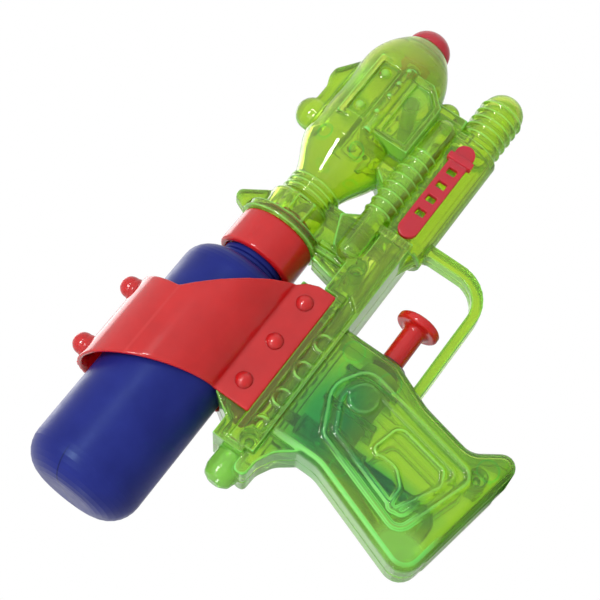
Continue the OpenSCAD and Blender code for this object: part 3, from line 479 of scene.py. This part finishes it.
def soften(node, cell, passes):
    """Gives a solid the small round edges of a moulding."""
    weld = node.modifiers.new("weld", "WELD")
    weld.merge_threshold = WELD_GAP * MM
    remesh = node.modifiers.new("remesh", "REMESH")
    remesh.mode = "VOXEL"
    remesh.voxel_size = cell * MM
    remesh.use_smooth_shade = True
    smooth = node.modifiers.new("smooth", "SMOOTH")
    smooth.factor = SMOOTH_SHARE
    smooth.iterations = passes


def shape_nodes(name):
    """Group of nodes that changes a shape; gives the group, its shape and the end that takes the new one."""
    tree = bpy.data.node_groups.new(name, "GeometryNodeTree")
    for way in ("INPUT", "OUTPUT"):
        tree.interface.new_socket("Geometry", in_out=way, socket_type="NodeSocketGeometry")
    start = tree.nodes.new("NodeGroupInput")
    end = tree.nodes.new("NodeGroupOutput")
    return tree, start.outputs["Geometry"], end.inputs["Geometry"]


# Passes over neighbours that make the even surface against which points stand out
EDGE_BLUR = 6


def edge_field():
    """Nodes that measure at each point how far it stands out from the surface about it."""
    tree, shape, end = shape_nodes("edge_field")
    place = tree.nodes.new("GeometryNodeInputPosition")
    normal = tree.nodes.new("GeometryNodeInputNormal")
    about = tree.nodes.new("GeometryNodeBlurAttribute")
    about.data_type = "FLOAT_VECTOR"
    about.inputs["Iterations"].default_value = EDGE_BLUR
    apart = tree.nodes.new("ShaderNodeVectorMath")
    apart.operation = "SUBTRACT"
    out = tree.nodes.new("ShaderNodeVectorMath")
    out.operation = "DOT_PRODUCT"
    even = tree.nodes.new("GeometryNodeBlurAttribute")
    even.data_type = "FLOAT"
    store = tree.nodes.new("GeometryNodeStoreNamedAttribute")
    store.data_type = "FLOAT"
    store.inputs["Name"].default_value = EDGE_FIELD
    for source, target in (
        (place.outputs["Position"], about.inputs["Value"]),
        (place.outputs["Position"], apart.inputs[0]),
        (about.outputs["Value"], apart.inputs[1]),
        (apart.outputs["Vector"], out.inputs[0]),
        (normal.outputs["Normal"], out.inputs[1]),
        (out.outputs["Value"], even.inputs["Value"]),
        (even.outputs["Value"], store.inputs["Value"]),
        (shape, store.inputs["Geometry"]),
        (store.outputs["Geometry"], end),
    ):
        tree.links.new(source, target)
    return tree


# Ball knobs on the strap: their radius and their places along X, in mm
KNOB_R = 4
KNOB_PLACES = (-65.5, -39.5)
# Points of a knob lie at most this far outside its ball, and at most this far under its middle, in mm
KNOB_REACH = 0.3
KNOB_SKIRT = 0.6


def round_knobs():
    """Nodes that bring the points of the strap's two knobs back onto true balls."""
    tree, shape, end = shape_nodes("round_knobs")
    place = tree.nodes.new("GeometryNodeInputPosition").outputs["Position"]
    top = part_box("tank_strap")[1].z

    def vector_math(operation, first, second=None):
        made = tree.nodes.new("ShaderNodeVectorMath")
        made.operation = operation
        tree.links.new(first, made.inputs[0])
        if second is not None:
            made.inputs[1].default_value = second
        return made

    def below(value, limit):
        made = tree.nodes.new("FunctionNodeCompare")
        made.operation = "LESS_THAN"
        tree.links.new(value, made.inputs["A"])
        made.inputs["B"].default_value = limit
        return made.outputs["Result"]

    for x in KNOB_PLACES:
        centre = Vector((x * MM, 0, top - KNOB_R * MM))
        arm = vector_math("SUBTRACT", place, centre).outputs["Vector"]
        ray = vector_math("NORMALIZE", arm).outputs["Vector"]
        ball = vector_math("SCALE", ray)
        ball.inputs["Scale"].default_value = KNOB_R * MM
        spot = vector_math("ADD", ball.outputs["Vector"], centre).outputs["Vector"]
        close = below(vector_math("LENGTH", arm).outputs["Value"], (KNOB_R + KNOB_REACH) * MM)
        high = below(vector_math("DOT_PRODUCT", arm, (0, 0, -1)).outputs["Value"], KNOB_SKIRT * MM)
        both = tree.nodes.new("FunctionNodeBooleanMath")
        tree.links.new(close, both.inputs[0])
        tree.links.new(high, both.inputs[1])
        move = tree.nodes.new("GeometryNodeSetPosition")
        tree.links.new(shape, move.inputs["Geometry"])
        tree.links.new(both.outputs["Boolean"], move.inputs["Selection"])
        tree.links.new(spot, move.inputs["Position"])
        shape = move.outputs["Geometry"]
    tree.links.new(shape, end)
    return tree


def dress_nodes():
    """Materials and soft edges on the solids."""
    for part in frame["record"]["subparts"]:
        node = nodes[part["node"]]
        node.data.materials.clear()
        node.data.materials.append(FINISHES[part["material_slot"]])
    field = edge_field()
    for name, (cell, passes) in SOFT_EDGES.items():
        soften(nodes[name], cell, passes)
        if name == "tank_strap":
            nodes[name].modifiers.new("round_knobs", "NODES").node_group = round_knobs()
        nodes[name].modifiers.new("edge_field", "NODES").node_group = field


def piece(name, mesh, slot, stands_for):
    """Adds a mesh to the body, in the place of a node."""
    made = bpy.data.objects.new(name, mesh)
    bpy.context.scene.collection.objects.link(made)
    mesh.materials.append(FINISHES[slot])
    for face in mesh.polygons:
        face.use_smooth = True
    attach(made, "body")
    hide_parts(stands_for)
    return made


def mesh_of(name, points, faces):
    mesh = bpy.data.meshes.new(name)
    mesh.from_pydata(points, [], faces)
    mesh.validate()
    return mesh


# Steps of the arc in each bend of a hose
BEND_STEPS = 10


def bent(points, radius):
    """Line through hand-set points, with each bend turned into an arc."""
    path = [points[0]]
    for before, corner, after in zip(points, points[1:], points[2:]):
        u = (before - corner).normalized()
        w = (after - corner).normalized()
        half = u.angle(w) / 2
        centre = corner + (u + w).normalized() * radius / math.sin(half)
        start = corner + u * radius / math.tan(half) - centre
        end = corner + w * radius / math.tan(half) - centre
        sweep = math.pi - 2 * half
        for k in range(BEND_STEPS + 1):
            share = sweep * k / BEND_STEPS
            path.append(centre + (math.sin(sweep - share) * start + math.sin(share) * end) / math.sin(sweep))
    path.append(points[-1])
    return path


# Direction to the first point of a path's first ring, as near as it can be; no path starts along it
RING_START = Vector((0.1, 1.0, 0.3))


def points_round(path, radius, sides):
    """Rings of points round a path, carried along it without twist, in one list."""
    ahead = path[1:] + path[-1:]
    behind = path[:1] + path[:-1]
    turns = [2 * math.pi * j / sides for j in range(sides)]
    side = RING_START
    points = []
    for point, a, b in zip(path, ahead, behind):
        along = (a - b).normalized()
        side = (side - side.dot(along) * along).normalized()
        other = along.cross(side)
        points.extend(point + radius * (math.cos(t) * side + math.sin(t) * other) for t in turns)
    return points


def skin_faces(rings, sides, first=0, flip=False):
    """Four-sided faces that join rings of points."""
    faces = []
    for i in range(rings - 1):
        near = first + i * sides
        far = near + sides
        for j in range(sides):
            k = (j + 1) % sides
            face = [near + j, near + k, far + k, far + j]
            faces.append(face[::-1] if flip else face)
    return faces


# Sizes of the hoses in mm, and their routes as points in mm
HOSE_SIDES = 24
HOSE_R = 2.2
HOSE_BORE = 1.45
HOSE_BEND = 5
DIP_BEND = 20
DIP_POINTS = [(2.9, 0, 115), (-80, 0, 115), (-97, 0, 99.5)]
SUCTION_POINTS = [
    (15.1, 0, 115), (22.2, 0, 115), (22.2, 0, 77.8), (6, 5, 77.8), (-43, 5, 77.8), (-51, 2, 77.8),
    (-51, 0, 62), (-51, 0, 46), (-59.5, 0, 27), (-56, 0, 14), (-44.6, 0, 14), (-44.6, 0, 42.8),
]
OUTLET_POINTS = [
    (-44.6, 0, 68.6), (-44.6, 0, 77.8), (-34, -5, 77.8), (40, -5, 77.8), (56, 0, 77.8), (56, 0, 115),
    (92.4, 0, 115),
]


def hose(name, points, bend, slot, node):
    """Open hose with its bore, where the solid lies."""
    path = bent([Vector(p) * MM for p in points], bend * MM)
    outer = points_round(path, HOSE_R * MM, HOSE_SIDES)
    inner = points_round(path, HOSE_BORE * MM, HOSE_SIDES)
    bore = len(outer)
    last = bore - HOSE_SIDES
    faces = skin_faces(len(path), HOSE_SIDES) + skin_faces(len(path), HOSE_SIDES, bore, True)
    for j in range(HOSE_SIDES):
        k = (j + 1) % HOSE_SIDES
        rim = [j, bore + j, bore + k, k]
        faces.append(rim)
        faces.append([last + v for v in rim[::-1]])
    piece(name, mesh_of(name, outer + inner, faces), slot, node)


def hoses():
    hose("dip_pipe", DIP_POINTS, DIP_BEND, "fitting_white", "dip_tube")
    hose("suction_pipe", SUCTION_POINTS, HOSE_BEND, "clear_plastic", "suction_hose")
    hose("outlet_pipe", OUTLET_POINTS, HOSE_BEND, "clear_plastic", "outlet_hose")


# The wire in mm, turns of the coil, steps in a turn and sides of the wire
SPRING_WIRE = 0.9
SPRING_TURNS = 5
SPRING_STEPS = 32
SPRING_SIDES = 12


def spring():
    """Wire coil in the place of its solid."""
    low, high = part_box("return_spring")
    wire = SPRING_WIRE * MM / 2
    radius = (high.z - low.z) / 2 - wire
    centre = (low + high) / 2
    steps = SPRING_STEPS * SPRING_TURNS
    path = []
    for k in range(steps + 1):
        turn = 2 * math.pi * SPRING_TURNS * k / steps
        x = low.x + wire + (high.x - low.x - 2 * wire) * k / steps
        path.append(Vector((x, centre.y + radius * math.cos(turn), centre.z + radius * math.sin(turn))))
    points = points_round(path, wire, SPRING_SIDES)
    faces = skin_faces(len(path), SPRING_SIDES)
    faces.append(list(range(SPRING_SIDES))[::-1])
    faces.append(list(range(len(points) - SPRING_SIDES, len(points))))
    made = piece("spring_coil", mesh_of("spring_coil", points, faces), "steel", "return_spring")
    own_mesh(made)


def seen_rays(tree):
    """1 for the rays of eye, gloss and glass, 0 for those that light the toy."""
    rays = tree.nodes.new("ShaderNodeLightPath")
    seen = rays.outputs["Is Camera Ray"]
    for name in ("Is Glossy Ray", "Is Transmission Ray"):
        either = tree.nodes.new("ShaderNodeMath")
        either.operation = "MAXIMUM"
        tree.links.new(seen, either.inputs[0])
        tree.links.new(rays.outputs[name], either.inputs[1])
        seen = either.outputs["Value"]
    return seen


def choose(tree, factor, first, second):
    """Shader between two shaders."""
    mix = tree.nodes.new("ShaderNodeMixShader")
    tree.links.new(factor, mix.inputs["Fac"])
    tree.links.new(first, mix.inputs[1])
    tree.links.new(second, mix.inputs[2])
    return mix.outputs["Shader"]


# Half of the floor's side and where it fades to white, in metres, and how far under the toy it lies, in mm
FLOOR_HALF = 2.0
FADE_START = 0.25
FADE_END = 1.0
FLOOR_GAP = 0.05


def floor():
    """Pale floor that fades to white, and is clear from below, where the photograph's camera stands."""
    made = Finish("floor")
    made.colour(made.blend(made.cloud(cells=3, detail=3), FLOOR, FLOOR_DEEP))
    made.put(Roughness=0.8)
    away = made.node("ShaderNodeVectorMath")
    away.operation = "LENGTH"
    made.link(made.place(), away.inputs[0])
    far = made.times(made.ramp(away.outputs["Value"], FADE_START, FADE_END), seen_rays(made.tree))
    white = made.node("ShaderNodeEmission").outputs["Emission"]
    pale = choose(made.tree, far, made.shader.outputs["BSDF"], white)
    below = made.node("ShaderNodeNewGeometry").outputs["Backfacing"]
    clear = made.node("ShaderNodeBsdfTransparent").outputs["BSDF"]
    surface = made.tree.nodes["Material Output"].inputs["Surface"]
    made.link(choose(made.tree, below, pale, clear), surface)
    corners = [(-1, -1), (1, -1), (1, 1), (-1, 1)]
    points = [(x * FLOOR_HALF, y * FLOOR_HALF, -FLOOR_GAP * MM) for x, y in corners]
    mesh = mesh_of("floor", points, [[0, 1, 2, 3]])
    mesh.materials.append(made.material)
    plane = bpy.data.objects.new("floor", mesh)
    bpy.context.scene.collection.objects.link(plane)


ROOM_LEVEL = 0.42


def room():
    """Soft even light from all round. Eye, gloss and glass see white."""
    world = bpy.data.worlds.new("room")
    bpy.context.scene.world = world
    world.use_nodes = True
    tree = world.node_tree
    even = tree.nodes["Background"]
    even.inputs["Color"].default_value = (*ROOM, 1)
    even.inputs["Strength"].default_value = ROOM_LEVEL
    white = tree.nodes.new("ShaderNodeBackground")
    white.inputs["Color"].default_value = (1, 1, 1, 1)
    white.inputs["Strength"].default_value = 1
    sky = choose(tree, seen_rays(tree), even.outputs["Background"], white.outputs["Background"])
    tree.links.new(sky, tree.nodes["World Output"].inputs["Surface"])


def lamp(name, direction, distance, width, height, power):
    """Soft rectangular lamp that looks at the toy, with lengths in metres and power in watts."""
    data = bpy.data.lights.new(name, "AREA")
    data.shape = "RECTANGLE"
    data.size = width
    data.size_y = height
    data.energy = power
    made = bpy.data.objects.new(name, data)
    made.location = VIEW_TARGET + direction.normalized() * distance
    made.rotation_euler = direction.to_track_quat("Z", "Y").to_euler()
    made.visible_camera = False
    bpy.context.scene.collection.objects.link(made)


# Directions to the small lamp at the right side, which glints on the nose, and to the one behind the bottle
WINDOW_WAY = Vector((0.092, -0.939, 0.334))
REAR_WAY = Vector((-0.948, 0.311, -0.069))


def lamps(right, above, back):
    """Two small lamps for glints, and three large ones that are placed from the photograph's view."""
    upwards = Vector((0, 0, 1))
    key_way = back + 0.55 * upwards - 0.1 * right
    fill_way = back - 0.8 * right - 0.2 * above
    behind_way = -back + 0.9 * upwards
    lamp("key", key_way, distance=1.0, width=0.30, height=0.11, power=5.0)
    lamp("window", WINDOW_WAY, distance=1.0, width=0.07, height=0.12, power=1.0)
    lamp("rear", REAR_WAY, distance=1.0, width=0.12, height=0.12, power=0.5)
    lamp("fill", fill_way, distance=1.1, width=0.4, height=0.4, power=1.0)
    lamp("behind", behind_way, distance=1.1, width=0.5, height=0.5, power=1.6)


right, above, back = camera()
dress_nodes()
hoses()
spring()
floor()
room()
lamps(right, above, back)
bpy.context.scene.view_settings.view_transform = "Standard"

bpy.context.view_layer.update()
